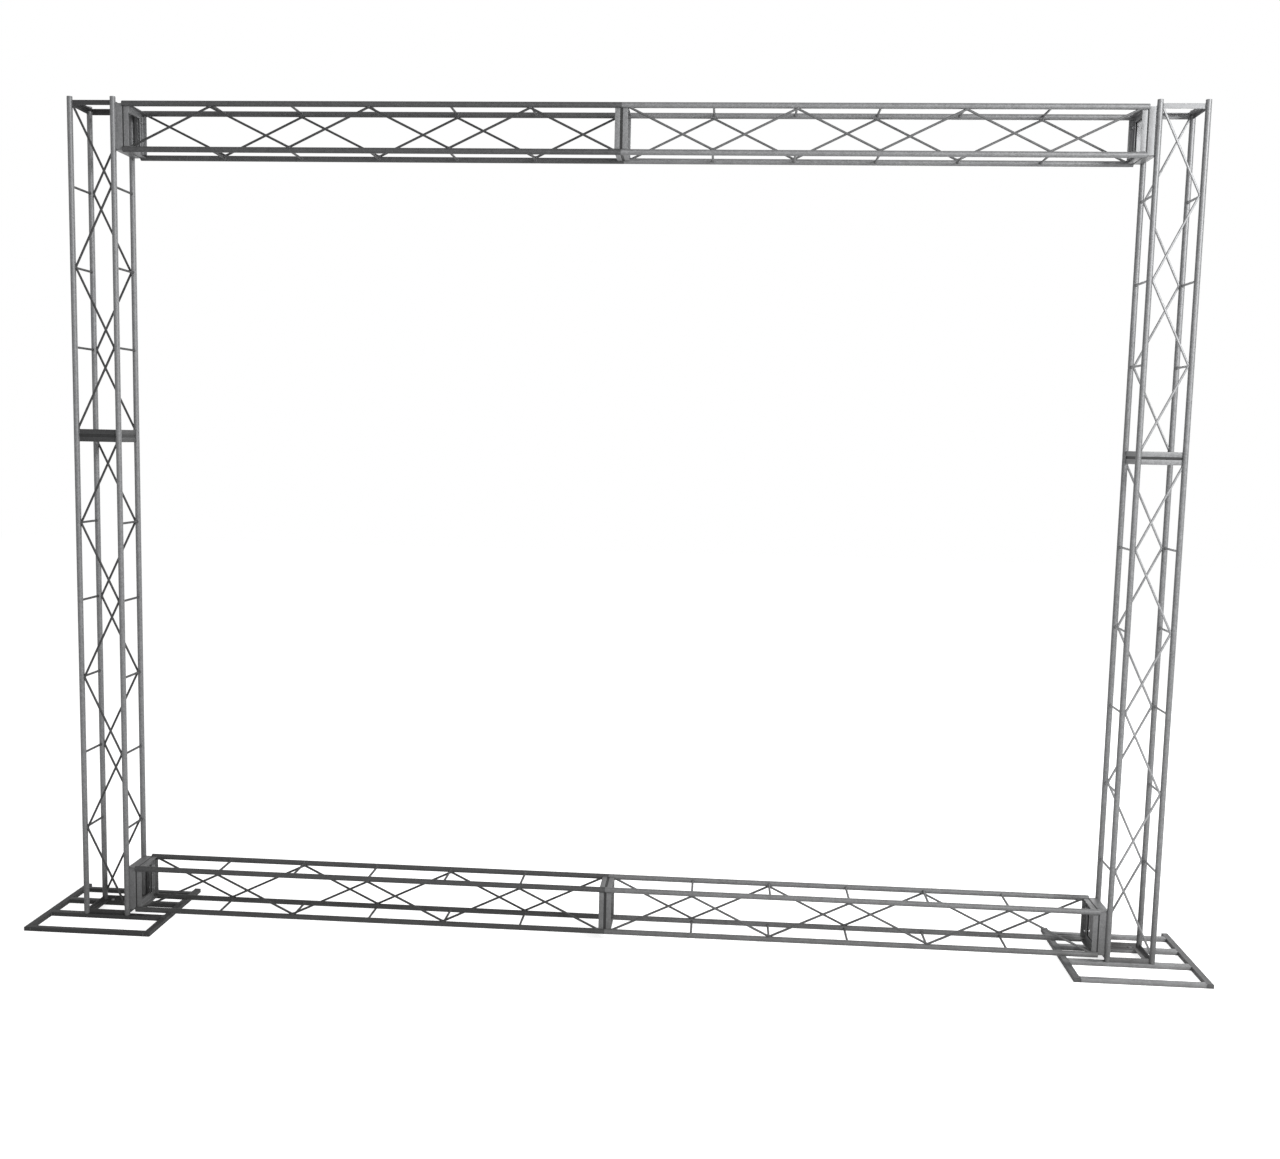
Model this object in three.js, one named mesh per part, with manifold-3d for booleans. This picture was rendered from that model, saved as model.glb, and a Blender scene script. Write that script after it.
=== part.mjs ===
// A free-standing goal-post frame of welded steel box truss, as stages and stands use it for a banner or lights.
// Two towers, each a long and a short section, stand on flat floor frames. Two beams, each of two long
// sections, join the towers at the foot and at the top. Every joint is closed by four bolts.
// Millimetres, +Z up. +X runs along the beams and +Y to the back. The origin is on the floor under the middle.

import * as THREE from "three";
import { mergeVertices } from "three/addons/utils/BufferGeometryUtils.js";
import Module from "manifold-3d";

const wasm = await Module();
wasm.setup();

// Box truss: four chord tubes laced with round rod
const boxSize = 300; // over the outsides of the tubes, both ways
const chordDiameter = 33.7;
const chordWall = 2.6;
const rodDiameter = 12;

// Sections: the chords' length and the number of lacing panels
const beamSectionLength = 3000;
const beamPanels = 6;
const lowerTowerLength = 3040;
const lowerTowerPanels = 6;
const upperTowerLength = 2020;
const upperTowerPanels = 4;
const topTail = 20; // chord above the topmost ring

// From a section's end to its first lacing point, clear of the end ring
const buttedInset = 55;
const footInset = 75;
const topInset = 45;

// From a tower's end to the axes of the beam's nearer chords
const beamFromTowerEnd = 40;

// End rings and side frames of angle bar, welded between the chords
const angleThickness = 4;
const angleFlange = 40; // towards the truss axis
const ringLeg = 30; // along the chords
const ringSetback = 8; // behind a butted end, so that the chords meet before the rings do

const sideFrameReach = 58; // from a beam's end to the axes of the tower's nearer chords

// Bolts
const boltDiameter = 12;
const boltHoleDiameter = 13.5;
const boltHeadFlats = 19;
const boltHeadHeight = 7.5;
const nutHeight = 10.8;
const boltGauge = 20; // from the ring's outer face to the bolt's axis
const boltFromChord = 60; // from the chord's axis to the bolt's axis, along the ring

// Floor frames of channel bar, open downwards
const floorFrameWidth = 800; // along X
const floorFrameDepth = 860; // along Y
const floorBarWidth = 40;
const floorBarHeight = 25;
const floorBarWall = 3;
const floorRailWidth = 50; // the bars under the tower, wide enough for a tube and a bolt
const floorRearTail = 60; // how far the side bars run on behind the rear bar

// Free space between pieces that touch, and how far a cutter runs past what it cuts
const fitGap = 0.3;
const cutOverrun = 5;
const sliver = 0.002; // thinner triangles are merged into their neighbours

// Facets round a tube, a rod and a bolt
const tubeSides = 8;
const rodSides = 6;
const hexSides = 6;

const chordSpacing = boxSize - chordDiameter;
const chordOffset = chordSpacing / 2;
const halfGap = fitGap / 2;
const towerAxisX = beamSectionLength + sideFrameReach + chordOffset;
const towerFoot = floorBarHeight + halfGap;
const towerJoint = towerFoot + lowerTowerLength;
const towerTop = towerJoint + upperTowerLength;
const bottomBeamAxis = towerFoot + beamFromTowerEnd + chordOffset;
const topBeamAxis = towerTop - beamFromTowerEnd - chordOffset;
const angleOutside = chordOffset + angleThickness / 2; // the legs lie in the planes of the chords' axes
const boltAcross = angleOutside - boltGauge;
const boltAlong = chordOffset - boltFromChord;

const AXIS = { x: new THREE.Vector3(1, 0, 0), y: new THREE.Vector3(0, 1, 0), z: new THREE.Vector3(0, 0, 1) };

// Solids and meshes

function solid(geometry, matrix = new THREE.Matrix4()) {
  const bare = geometry.clone().applyMatrix4(matrix);
  bare.deleteAttribute("normal");
  bare.deleteAttribute("uv");
  const merged = mergeVertices(bare);
  return new wasm.Manifold(
    new wasm.Mesh({
      numProp: 3,
      vertProperties: new Float32Array(merged.attributes.position.array),
      triVerts: new Uint32Array(merged.index.array),
    }),
  );
}

const joined = (solids) => solids.reduce((whole, next) => whole.add(next));

// The finished solid's surface, without the slivers that joining flush faces leaves.
function geometryOf(manifold) {
  const mesh = manifold.asOriginal().simplify(sliver).getMesh();
  const geometry = new THREE.BufferGeometry();
  geometry.setAttribute("position", new THREE.BufferAttribute(mesh.vertProperties, mesh.numProp));
  geometry.setIndex(new THREE.BufferAttribute(mesh.triVerts, 1));
  geometry.computeVertexNormals();
  return geometry;
}

// A round bar along y as a prism. Its flats lie on the circle.
function roundBar(diameter, length, sides, rows = 1) {
  const corner = diameter / 2 / Math.cos(Math.PI / sides);
  return new THREE.CylinderGeometry(corner, corner, length, sides, rows);
}

// A length of tube, or of its bore, along z at `x` and `y`, with a flat to each side.
function tube(x, y, low, high, diameter) {
  const prism = roundBar(diameter, high - low, tubeSides);
  prism.rotateY(Math.PI / tubeSides);
  prism.rotateX(Math.PI / 2);
  return solid(prism, new THREE.Matrix4().setPosition(x, y, (low + high) / 2));
}

// A rung from a front tube's axis to a back tube's. Like the lacing, it ends on one flat of each tube.
function rung(x, z) {
  const rod = roundBar(rodDiameter, chordSpacing, rodSides);
  rod.rotateY(Math.PI / rodSides);
  return solid(rod, new THREE.Matrix4().setPosition(x, 0, z));
}

// Lacing for one face, bent from one rod. It turns at each point of `line`, where its cross-section is level.
function lacing(line) {
  const panels = line.length - 1;
  const rod = roundBar(rodDiameter, panels, rodSides, panels);
  rod.rotateX(Math.PI / 2);
  const lean = line[0].distanceTo(line[1]) / (line[1].z - line[0].z);
  const corner = new THREE.Vector3();
  const { position } = rod.attributes;
  for (let index = 0; index < position.count; index++) {
    corner.fromBufferAttribute(position, index);
    const turn = line[Math.round(corner.z + panels / 2)];
    position.setXYZ(index, turn.x + corner.x * lean, turn.y + corner.y, turn.z);
  }
  return solid(rod);
}

// A bar of any profile, drawn in the plane of `across` and `up`, whose middle is at `centre`.
function profileBar(points, length, across, up, centre) {
  const profile = new THREE.ExtrudeGeometry(new THREE.Shape(points), { depth: length, bevelEnabled: false });
  profile.translate(0, 0, -length / 2);
  const basis = new THREE.Matrix4().makeBasis(across, up, new THREE.Vector3().crossVectors(across, up));
  return solid(profile, basis.setPosition(centre));
}

// Angle bar in section: the leg runs from the heel along the truss, the flange towards the truss axis.
function angleProfile(leg) {
  const inside = angleOutside - angleThickness;
  const toe = angleOutside - angleFlange;
  return [
    [angleOutside, 0],
    [angleOutside, leg],
    [inside, leg],
    [inside, angleThickness],
    [toe, angleThickness],
    [toe, 0],
  ].map(([x, y]) => new THREE.Vector2(x, y));
}

// Channel bar in section, with its web on top.
function channelProfile(width) {
  const half = width / 2;
  return [
    [-half, 0],
    [-half + floorBarWall, 0],
    [-half + floorBarWall, floorBarHeight - floorBarWall],
    [half - floorBarWall, floorBarHeight - floorBarWall],
    [half - floorBarWall, 0],
    [half, 0],
    [half, floorBarHeight],
    [-half, floorBarHeight],
  ].map(([x, y]) => new THREE.Vector2(x, y));
}

// A square frame of four angle bars round `axis`. Its flange faces away from `axis`, at `centre`.
function angleFrame(centre, axis, firstSide, leg) {
  return joined(
    [0, 1, 2, 3].map((quarter) => {
      const across = firstSide.clone().applyAxisAngle(axis, (quarter * Math.PI) / 2).round();
      return profileBar(angleProfile(leg), 2 * angleOutside, across, axis, centre);
    }),
  );
}

// The four bolt places of a joint, in the section's own frame at height z.
function boltPlaces(z) {
  return [-1, 1].flatMap((x) => [-1, 1].map((y) => new THREE.Vector3(x * boltAlong, y * boltAcross, z)));
}

// Holes for a joint's bolts through what lies between two heights.
function boltHoles(low, high) {
  const radius = boltHoleDiameter / 2;
  const drill = new THREE.CylinderGeometry(radius, radius, high - low + 2 * cutOverrun, hexSides);
  drill.rotateX(Math.PI / 2);
  const places = boltPlaces((low + high) / 2);
  return joined(places.map((at) => solid(drill, new THREE.Matrix4().setPosition(at))));
}

// One welded section, standing on its own z = 0, with its front to -Y.
// `foot` and `head` are its ends: the ring's setback and the lacing's inset, both from the chord's end.
// `firstSide` is the side of the front face where the lacing starts: -1 or 1.
function section(length, panels, firstSide, foot, head) {
  const low = halfGap;
  const high = length - halfGap;
  const panel = (length - foot.inset - head.inset) / panels;
  const lacingPoint = (count) => foot.inset + count * panel;
  const corners = [-1, 1].flatMap((x) => [-1, 1].map((y) => [x * chordOffset, y * chordOffset]));

  const pieces = corners.map(([x, y]) => tube(x, y, low, high, chordDiameter));
  // The lacing turns on the tubes' near sides. Its two ends run on to the tubes' axes, where the bore cuts them.
  const nearSide = chordOffset - chordDiameter / 2;
  const runOn = (panel / 2 / nearSide) * (chordOffset - nearSide);
  for (const face of [-1, 1]) {
    const line = Array.from({ length: panels + 1 }, (_, count) => {
      const ending = count === 0 ? -1 : Math.floor(count / panels);
      const x = firstSide * -face * (count % 2 ? -1 : 1) * (ending ? chordOffset : nearSide);
      return new THREE.Vector3(x, face * chordOffset, lacingPoint(count) + ending * runOn);
    });
    pieces.push(lacing(line));
  }
  for (let count = 1; count < panels; count++) {
    pieces.push(rung(-chordOffset, lacingPoint(count)), rung(chordOffset, lacingPoint(count)));
  }

  const footRing = low + foot.setback;
  const headRing = high - head.setback;
  const [above, below] = [AXIS.z, AXIS.z.clone().negate()];
  pieces.push(angleFrame(new THREE.Vector3(0, 0, footRing), above, AXIS.x, ringLeg));
  pieces.push(angleFrame(new THREE.Vector3(0, 0, headRing), below, AXIS.x, ringLeg));

  const bore = chordDiameter - 2 * chordWall;
  const cuts = corners.map(([x, y]) => tube(x, y, low - cutOverrun, high + cutOverrun, bore));
  cuts.push(boltHoles(footRing, footRing + angleThickness));
  cuts.push(boltHoles(headRing - angleThickness, headRing));
  return { body: joined(pieces), cuts: joined(cuts) };
}

const butted = { setback: ringSetback, inset: buttedInset };
const standing = { setback: 0, inset: footInset };
const topmost = { setback: topTail, inset: topInset };

// A frame on a tower's inner side, `inward` being -1 or 1 along X, at the height of a beam's axis.
// It comes in the tower section's own frame, whose z = 0 is at `sectionBase`.
function sideFrame(inward, beamAxis, sectionBase) {
  const seat = chordOffset + sideFrameReach - halfGap;
  const centre = new THREE.Vector3(inward * seat, 0, beamAxis - sectionBase);
  const axis = new THREE.Vector3(-inward, 0, 0);
  const body = angleFrame(centre, axis, AXIS.y, sideFrameReach - halfGap);
  const toBeam = new THREE.Matrix4().makeRotationY(Math.PI / 2).setPosition(centre);
  const holes = boltHoles(-angleThickness, angleThickness).transform(toBeam.elements);
  return { body, cuts: holes };
}

function towerPart(length, panels, firstSide, foot, head, inward, beamAxis, sectionBase) {
  const truss = section(length, panels, firstSide, foot, head);
  const frame = sideFrame(inward, beamAxis, sectionBase);
  return truss.body.add(frame.body).subtract(truss.cuts).subtract(frame.cuts);
}

function beamPart(firstSide) {
  const truss = section(beamSectionLength, beamPanels, firstSide, butted, butted);
  return truss.body.subtract(truss.cuts);
}

// A floor frame: two bars from front to back with closed ends, and four across, the middle two under the tower.
function floorFrame() {
  const crossSpan = floorFrameWidth - 2 * floorBarWidth + floorBarWall;
  const sideX = (floorFrameWidth - floorBarWidth) / 2;
  const frontY = -(floorFrameDepth - floorBarWidth) / 2;
  const plateY = (floorFrameDepth - floorBarWall) / 2;
  const railY = (boxSize - floorRailWidth) / 2;
  const at = (x, y, z = 0) => new THREE.Vector3(x, y, z);
  const cross = (width, y) => profileBar(channelProfile(width), crossSpan, AXIS.y, AXIS.z, at(0, y));
  const plate = new THREE.BoxGeometry(floorBarWidth, floorBarWall, floorBarHeight);
  const endPlate = (x, y) => solid(plate, new THREE.Matrix4().setPosition(at(x, y, floorBarHeight / 2)));
  const bars = [-1, 1].flatMap((end) => [
    profileBar(channelProfile(floorBarWidth), floorFrameDepth, AXIS.x, AXIS.z, at(end * sideX, 0)),
    endPlate(end * sideX, -plateY),
    endPlate(end * sideX, plateY),
    cross(floorRailWidth, end * railY),
  ]);
  bars.push(cross(floorBarWidth, frontY), cross(floorBarWidth, -frontY - floorRearTail));
  return joined(bars).subtract(boltHoles(floorBarHeight - floorBarWall, floorBarHeight));
}

// A bolt with its nut, along +Y from the nut to the head. `grip` is what it holds together.
function boltGeometry(grip) {
  const shank = boltDiameter / 2;
  const head = boltHeadFlats / 2 / Math.cos(Math.PI / hexSides);
  const clamp = grip + 2 * fitGap;
  const profile = [
    [0, -nutHeight],
    [head, -nutHeight],
    [head, 0],
    [shank, 0],
    [shank, clamp],
    [head, clamp],
    [head, clamp + boltHeadHeight],
    [0, clamp + boltHeadHeight],
  ].map(([x, y]) => new THREE.Vector2(x, y));
  const turned = new THREE.LatheGeometry(profile, hexSides);
  turned.translate(0, -fitGap, 0);
  turned.rotateX(Math.PI / 2);
  return geometryOf(solid(turned));
}

// Finishes
const steel = (color, roughness) => () => new THREE.MeshStandardMaterial({ color, roughness, metalness: 0.8 });
const trussSteel = steel(0x9fa1a3, 0.42);
const floorSteel = steel(0x5b5c5e, 0.5);
const boltSteel = steel(0xb9bab8, 0.35);

// The assembly
const frame = new THREE.Group();
frame.name = "box_truss_grid";

function addPiece(name, geometry, material, parent) {
  const mesh = new THREE.Mesh(geometry, material());
  mesh.name = name;
  parent.add(mesh);
  return mesh;
}

function addPlace(position, turned = false) {
  const place = new THREE.Group();
  place.position.copy(position);
  if (turned) place.rotation.y = Math.PI / 2;
  frame.add(place);
  return place;
}

// Four bolts at a joint. `low` and `high` bound the stack that they hold, along the joint's own axis.
function addBolts(name, place, low, high) {
  const geometry = boltGeometry(high - low);
  boltPlaces(low).forEach((at, index) => {
    addPiece(`${name}_bolt_${index + 1}`, geometry, boltSteel, place).position.copy(at);
  });
}

const ringFace = halfGap + ringSetback + angleThickness; // from a butted joint to the ring flange's far face

for (const [name, side] of [["left", -1], ["right", 1]]) {
  const axisX = side * towerAxisX;
  const inward = -side;
  const lower = towerPart(
    lowerTowerLength, lowerTowerPanels, 1, standing, butted, inward, bottomBeamAxis, towerFoot,
  );
  const upper = towerPart(
    upperTowerLength, upperTowerPanels, -1, butted, topmost, inward, topBeamAxis, towerJoint,
  );
  const floor = addPlace(new THREE.Vector3(axisX, 0, 0));
  const foot = addPlace(new THREE.Vector3(axisX, 0, towerFoot));
  const joint = addPlace(new THREE.Vector3(axisX, 0, towerJoint));
  addPiece(`${name}_base`, geometryOf(floorFrame()), floorSteel, floor);
  addPiece(`${name}_tower_lower`, geometryOf(lower), trussSteel, foot);
  addPiece(`${name}_tower_upper`, geometryOf(upper), trussSteel, joint);
  addBolts(`${name}_base`, floor, floorBarHeight - floorBarWall, floorBarHeight + fitGap + angleThickness);
  addBolts(`${name}_tower`, joint, -ringFace, ringFace);
}

// In a beam's own frame +Z runs to the right and -X is up, so lacing that starts at 1 starts at the bottom.
const beams = [
  { name: "bottom", height: bottomBeamAxis, leftStart: 1, rightStart: 1 },
  { name: "top", height: topBeamAxis, leftStart: 1, rightStart: -1 },
];
for (const { name, height, leftStart, rightStart } of beams) {
  const leftEnd = addPlace(new THREE.Vector3(-beamSectionLength, 0, height), true);
  const middle = addPlace(new THREE.Vector3(0, 0, height), true);
  const rightEnd = addPlace(new THREE.Vector3(beamSectionLength, 0, height), true);
  addPiece(`${name}_beam_left`, geometryOf(beamPart(leftStart)), trussSteel, leftEnd);
  addPiece(`${name}_beam_right`, geometryOf(beamPart(rightStart)), trussSteel, middle);
  addBolts(`${name}_beam`, middle, -ringFace, ringFace);
  addBolts(`${name}_left_corner`, leftEnd, -halfGap - angleThickness, ringFace);
  addBolts(`${name}_right_corner`, rightEnd, -ringFace, halfGap + angleThickness);
}

export default frame;
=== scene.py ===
# %% [markdown]
# # A box truss grid, dressed on its solids
#
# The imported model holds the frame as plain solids: tubes with eight flats, rods with six, bolts with
# sharp corners. Here each welded section, floor frame and bolt gets a fine surface in the same place,
# with weld beads, rolled corners and a weathered steel finish. Everything is in metres, +X along the
# beams, +Y to the back, +Z up.

import math

import bpy
import numpy as np
from mathutils import Matrix, Vector


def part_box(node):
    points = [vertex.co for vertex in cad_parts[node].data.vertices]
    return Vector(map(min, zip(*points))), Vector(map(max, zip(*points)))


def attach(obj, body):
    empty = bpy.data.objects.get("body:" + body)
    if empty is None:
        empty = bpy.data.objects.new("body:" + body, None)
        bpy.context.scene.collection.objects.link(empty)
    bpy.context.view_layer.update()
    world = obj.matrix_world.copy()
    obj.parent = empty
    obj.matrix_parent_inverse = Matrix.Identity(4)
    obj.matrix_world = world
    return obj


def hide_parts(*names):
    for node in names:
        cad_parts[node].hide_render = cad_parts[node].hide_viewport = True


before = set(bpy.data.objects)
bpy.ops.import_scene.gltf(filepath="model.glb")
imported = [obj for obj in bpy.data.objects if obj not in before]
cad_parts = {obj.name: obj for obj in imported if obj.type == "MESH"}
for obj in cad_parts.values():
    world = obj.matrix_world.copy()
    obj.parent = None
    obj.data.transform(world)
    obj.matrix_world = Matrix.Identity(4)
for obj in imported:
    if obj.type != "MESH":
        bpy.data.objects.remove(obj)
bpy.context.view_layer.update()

# %% [markdown]
# ## The camera first
#
# The photograph looks at the frame from about three metres up, a little right of its middle, turned
# slightly to the left and tilted down. Its place is fitted to the tubes' lines. The picture was cropped
# off centre, so the lens is shifted: a shift slides the picture without turning the camera, and upright
# lines keep their slant.

# %% Camera
IMAGE_WIDTH = 1280  # pixels
FOCAL_PIXELS = 1394.3
CENTRE_RIGHT, CENTRE_DOWN = -27.1, 15.3  # the lens axis in the picture, in pixels from its middle
CAMERA_PLACE = (0.6378, -8.4997, 3.1106)
YAW, PITCH, ROLL = (math.radians(angle) for angle in (-4.300, -6.375, 1.2104))
SENSOR_MM = 36.0
SIGHT = 100.0  # metres

camera_data = bpy.data.cameras.new("camera")
camera_data.sensor_fit = "HORIZONTAL"
camera_data.sensor_width = SENSOR_MM
camera_data.lens = FOCAL_PIXELS / IMAGE_WIDTH * SENSOR_MM
camera_data.shift_x = -CENTRE_RIGHT / IMAGE_WIDTH
camera_data.shift_y = CENTRE_DOWN / IMAGE_WIDTH
camera_data.clip_end = SIGHT
camera = bpy.data.objects.new("camera", camera_data)
bpy.context.scene.collection.objects.link(camera)

ahead = Vector((math.sin(YAW) * math.cos(PITCH), math.cos(YAW) * math.cos(PITCH), math.sin(PITCH)))
level_right = Vector((math.cos(YAW), -math.sin(YAW), 0))
level_up = level_right.cross(ahead)
right = math.cos(ROLL) * level_right + math.sin(ROLL) * level_up
up = -math.sin(ROLL) * level_right + math.cos(ROLL) * level_up
camera.matrix_world = Matrix.Translation(CAMERA_PLACE) @ Matrix((right, up, -ahead)).transposed().to_4x4()
bpy.context.scene.camera = camera
print(f"camera: lens {camera_data.lens:.1f} mm, shift {camera_data.shift_x:.4f}, {camera_data.shift_y:.4f}")

# %% [markdown]
# ## Sizes
#
# What the solids show is read from their boxes: the truss's width and the sections' ends. What a box
# can't show, such as a tube's diameter, is written here once, as in the steel dealer's list.

# %% Sizes of the steel and of the truss
TUBE, TUBE_WALL = 0.0337, 0.0026
ROD = 0.0138  # the circle through the corners of the solids' rods
ANGLE_THICKNESS, RING_LEG, RING_FLANGE, RING_SETBACK = 0.004, 0.030, 0.040, 0.008
SIDE_FRAME_REACH = 0.058  # from a beam's end to the axes of the tower's nearer chords
BOLT_GAUGE, BOLT_FROM_CHORD, BOLT_HOLE = 0.020, 0.060, 0.0135
BUTTED_INSET, FOOT_INSET, TOP_INSET, TOP_TAIL = 0.055, 0.075, 0.045, 0.020
BEAM_PANELS, LOWER_PANELS, UPPER_PANELS = 6, 6, 4
FIT_GAP = 0.0003
HALF_GAP = FIT_GAP / 2
WALL_MIDDLE = (TUBE - TUBE_WALL) / 2  # radius of the middle of a tube's wall, where rods and bars end
LEG_ON_TUBE = math.sqrt((TUBE / 2) ** 2 - (ANGLE_THICKNESS / 2) ** 2)  # a tube's axis to a leg's edge on it


def extent(node, axis):
    """Lowest and highest place of a node along an axis (0 for x, 1 for y, 2 for z)."""
    low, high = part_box(node)
    return low[axis], high[axis]


def centre_of(node, axis):
    """The place halfway between a node's two ends along an axis."""
    return sum(extent(node, axis)) / 2


BOX = 2 * extent("top_beam_left", 1)[1]
CHORD = (BOX - TUBE) / 2  # from the truss's axis to a chord's axis, both ways
NEAR_SIDE = CHORD - TUBE / 2  # the tubes' sides that face across the truss, where the lacing turns
ANGLE_OUTSIDE = CHORD + ANGLE_THICKNESS / 2
TOWER_X = {
    "left": extent("left_tower_upper", 0)[0] + BOX / 2,
    "right": extent("right_tower_upper", 0)[1] - BOX / 2,
}
print(f"truss {BOX:.4f} m over the tubes, chords at {CHORD:.5f} m")

# %% [markdown]
# ## Surfaces as arrays
#
# Every surface here is a grid: one parameter runs round a section, the other along a path. So each shape
# is one formula, worked out for the whole grid at once. A grid is kept as its points and faces, and many
# are joined into one mesh.


# %% Grids, joining and making an object
def grid_faces(rows, columns, ring_rows=False):
    """Quads of a grid of rows x columns points. Each row closes on itself, and so do the rows when asked."""
    row = np.arange(rows if ring_rows else rows - 1)[:, None]
    column = np.arange(columns)[None, :]
    next_row, next_column = (row + 1) % rows, (column + 1) % columns
    corners = [row * columns + column, row * columns + next_column,
               next_row * columns + next_column, next_row * columns + column]
    return np.stack([np.broadcast_to(c, (len(row), columns)) for c in corners], -1).reshape(-1, 4).tolist()


def caps(rows, columns):
    """The two flat faces that close a grid's first and last row."""
    return [list(range(columns))[::-1], [(rows - 1) * columns + i for i in range(columns)]]


def loft(rings):
    """A closed skin through rings of points (rows, columns, 3), with a flat face at each end."""
    rows, columns = rings.shape[:2]
    return rings.reshape(-1, 3), grid_faces(rows, columns) + caps(rows, columns)


def loop(rings):
    """A closed skin through rings of points whose last ring joins the first."""
    return rings.reshape(-1, 3), grid_faces(*rings.shape[:2], ring_rows=True)


def merged(parts):
    """Joins parts, each a pair of points and faces, into one pair."""
    points, faces, start = [], [], 0
    for part_points, part_faces in parts:
        points.append(part_points)
        faces.extend([[start + index for index in face] for face in part_faces])
        start += len(part_points)
    return np.concatenate(points), faces


def placed(part, matrix):
    """The part moved by a 4x4 matrix."""
    points, faces = part
    matrix = np.array(matrix)
    return points @ matrix[:3, :3].T + matrix[:3, 3], faces


SHARP, WELD_SHARP, BOLT_SHARP = (math.radians(angle) for angle in (40, 80, 25))


def make_piece(name, part, finish, slot, *nodes, sharp=SHARP):
    """One mesh object, smooth but for edges that turn by more than sharp, which rides on the frame."""
    points, faces = part
    mesh = bpy.data.meshes.new(name)
    mesh.from_pydata(points.tolist(), [], faces)
    mesh.validate()
    mesh.polygons.foreach_set("use_smooth", [True] * len(mesh.polygons))
    mesh.set_sharp_from_angle(angle=sharp)
    mesh.materials.append(FINISH[finish])
    piece = bpy.data.objects.new(name, mesh)
    bpy.context.scene.collection.objects.link(piece)
    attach(piece, "root")
    if nodes:
        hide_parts(*nodes)
    return piece


def circle(count):
    """count angles round a full turn, without the last, which equals the first."""
    return np.arange(count) * 2 * math.pi / count


def quarters(centre, axis):
    """Four places a quarter turn apart round an axis: x along a side, y outwards and z along the axis."""
    axis = Vector(axis)
    for quarter in range(4):
        outward = Matrix.Rotation(quarter * math.pi / 2, 3, axis) @ Vector((0, 1, 0))
        yield Matrix.Translation(centre) @ Matrix((outward.cross(axis), outward, axis)).transposed().to_4x4()


# %% [markdown]
# ## Finishes
#
# The real truss is mild steel with a thin grey zinc coat: mottled, streaked along the tubes, dull where
# hands and straps rub it, and darker with dirt near the floor. The effects are node groups, so each of
# them can go into the truss, floor frame, weld and bolt finishes with its own values. The shader itself
# stays in each material.


# %% Helpers for shader node groups
def new_group(name, inputs, output):
    """A shader group of numbers, with its inlet, outlet and place. inputs gives each socket's default."""
    group = bpy.data.node_groups.new(name, "ShaderNodeTree")
    for socket, default in inputs.items():
        made = group.interface.new_socket(name=socket, in_out="INPUT", socket_type="NodeSocketFloat")
        made.default_value = default
    group.interface.new_socket(name=output, in_out="OUTPUT", socket_type="NodeSocketFloat")
    inlet, outlet = group.nodes.new("NodeGroupInput"), group.nodes.new("NodeGroupOutput")
    return group, inlet.outputs, outlet.inputs[output], node(group, "ShaderNodeTexCoord").outputs["Object"]


def feed(tree, socket, value):
    """Links a socket to another node's output, or gives it a plain value."""
    if isinstance(value, bpy.types.NodeSocket):
        tree.links.new(value, socket)
    else:
        socket.default_value = value


def node(tree, kind, settings=None, **inputs):
    """A node of a kind, with its settings and unlinked or linked inputs. Underscores stand for spaces."""
    made = tree.nodes.new(kind)
    for key, value in (settings or {}).items():
        setattr(made, key, value)
    for key, value in inputs.items():
        feed(tree, made.inputs[int(key[1:]) if key[1:].isdigit() else key.replace("_", " ")], value)
    return made


def math_node(tree, operation, first, second=0.5, third=0.5, clamp=False):
    """The output of one Math node."""
    settings = {"operation": operation, "use_clamp": clamp}
    return node(tree, "ShaderNodeMath", settings, _0=first, _1=second, _2=third).outputs[0]


def mixed(tree, factor, first, second):
    """The output of a colour Mix node."""
    made = tree.nodes.new("ShaderNodeMix")
    made.data_type = "RGBA"
    colours = [socket for socket in made.inputs if socket.type == "RGBA"]
    for socket, value in zip([made.inputs[0], *colours], [factor, first, second]):
        feed(tree, socket, value)
    return next(socket for socket in made.outputs if socket.type == "RGBA")


# %% [markdown]
# ### Mottle, scuffs and grime
#
# Zinc freezes in patches a few millimetres wide, so a cell pattern at that size, softened by noise, gives
# the mottle. Scuffs are short and thin: noise squeezed hard, thresholded to a few lines. Grime gathers
# low down and in clouds, so it is a height ramp times a slow noise.


# %% Node groups
def mottle_group():
    """Value 0 to 1: cells blended with noise that is slower by far. Size is the cells' width in metres."""
    group, inlet, outlet, place = new_group("zinc_mottle", {"Size": 0.008}, "Value")
    density = math_node(group, "DIVIDE", 1.0, inlet["Size"])
    cells = node(group, "ShaderNodeTexVoronoi", {"feature": "F1"}, Vector=place, Scale=density)
    cell_tone = node(group, "ShaderNodeSeparateColor", Color=cells.outputs["Color"]).outputs[0]
    slow = math_node(group, "MULTIPLY", density, 0.13)
    cloud = node(group, "ShaderNodeTexNoise", Vector=place, Scale=slow, Detail=4.0, Roughness=0.62)
    half = math_node(group, "MULTIPLY", cell_tone, 0.4)
    value = math_node(group, "MULTIPLY_ADD", cloud.outputs[0], 0.6, half, clamp=True)
    group.links.new(value, outlet)
    return group


def scuff_group():
    """Mask 0 to 1 of short thin marks: noise stretched 14 to 1, twice, and cut near its top."""
    group, inlet, outlet, place = new_group("scuffs", {"Density": 60.0, "Amount": 0.5}, "Mask")
    masks = []
    for turn in ((0.4, 0.9, 0.2), (1.3, 0.2, 1.1)):
        stretched = node(group, "ShaderNodeMapping", Vector=place, Rotation=turn, Scale=(14.0, 1.0, 1.0))
        marks = node(group, "ShaderNodeTexNoise", Vector=stretched.outputs[0], Scale=inlet["Density"],
                     Detail=2.0)
        masks.append(marks.outputs[0])
    top = math_node(group, "MAXIMUM", *masks)
    edge = math_node(group, "SUBTRACT", 0.78, math_node(group, "MULTIPLY", inlet["Amount"], 0.16))
    above = math_node(group, "SUBTRACT", top, edge)
    group.links.new(math_node(group, "MULTIPLY", above, 14.0, clamp=True), outlet)
    return group


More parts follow.
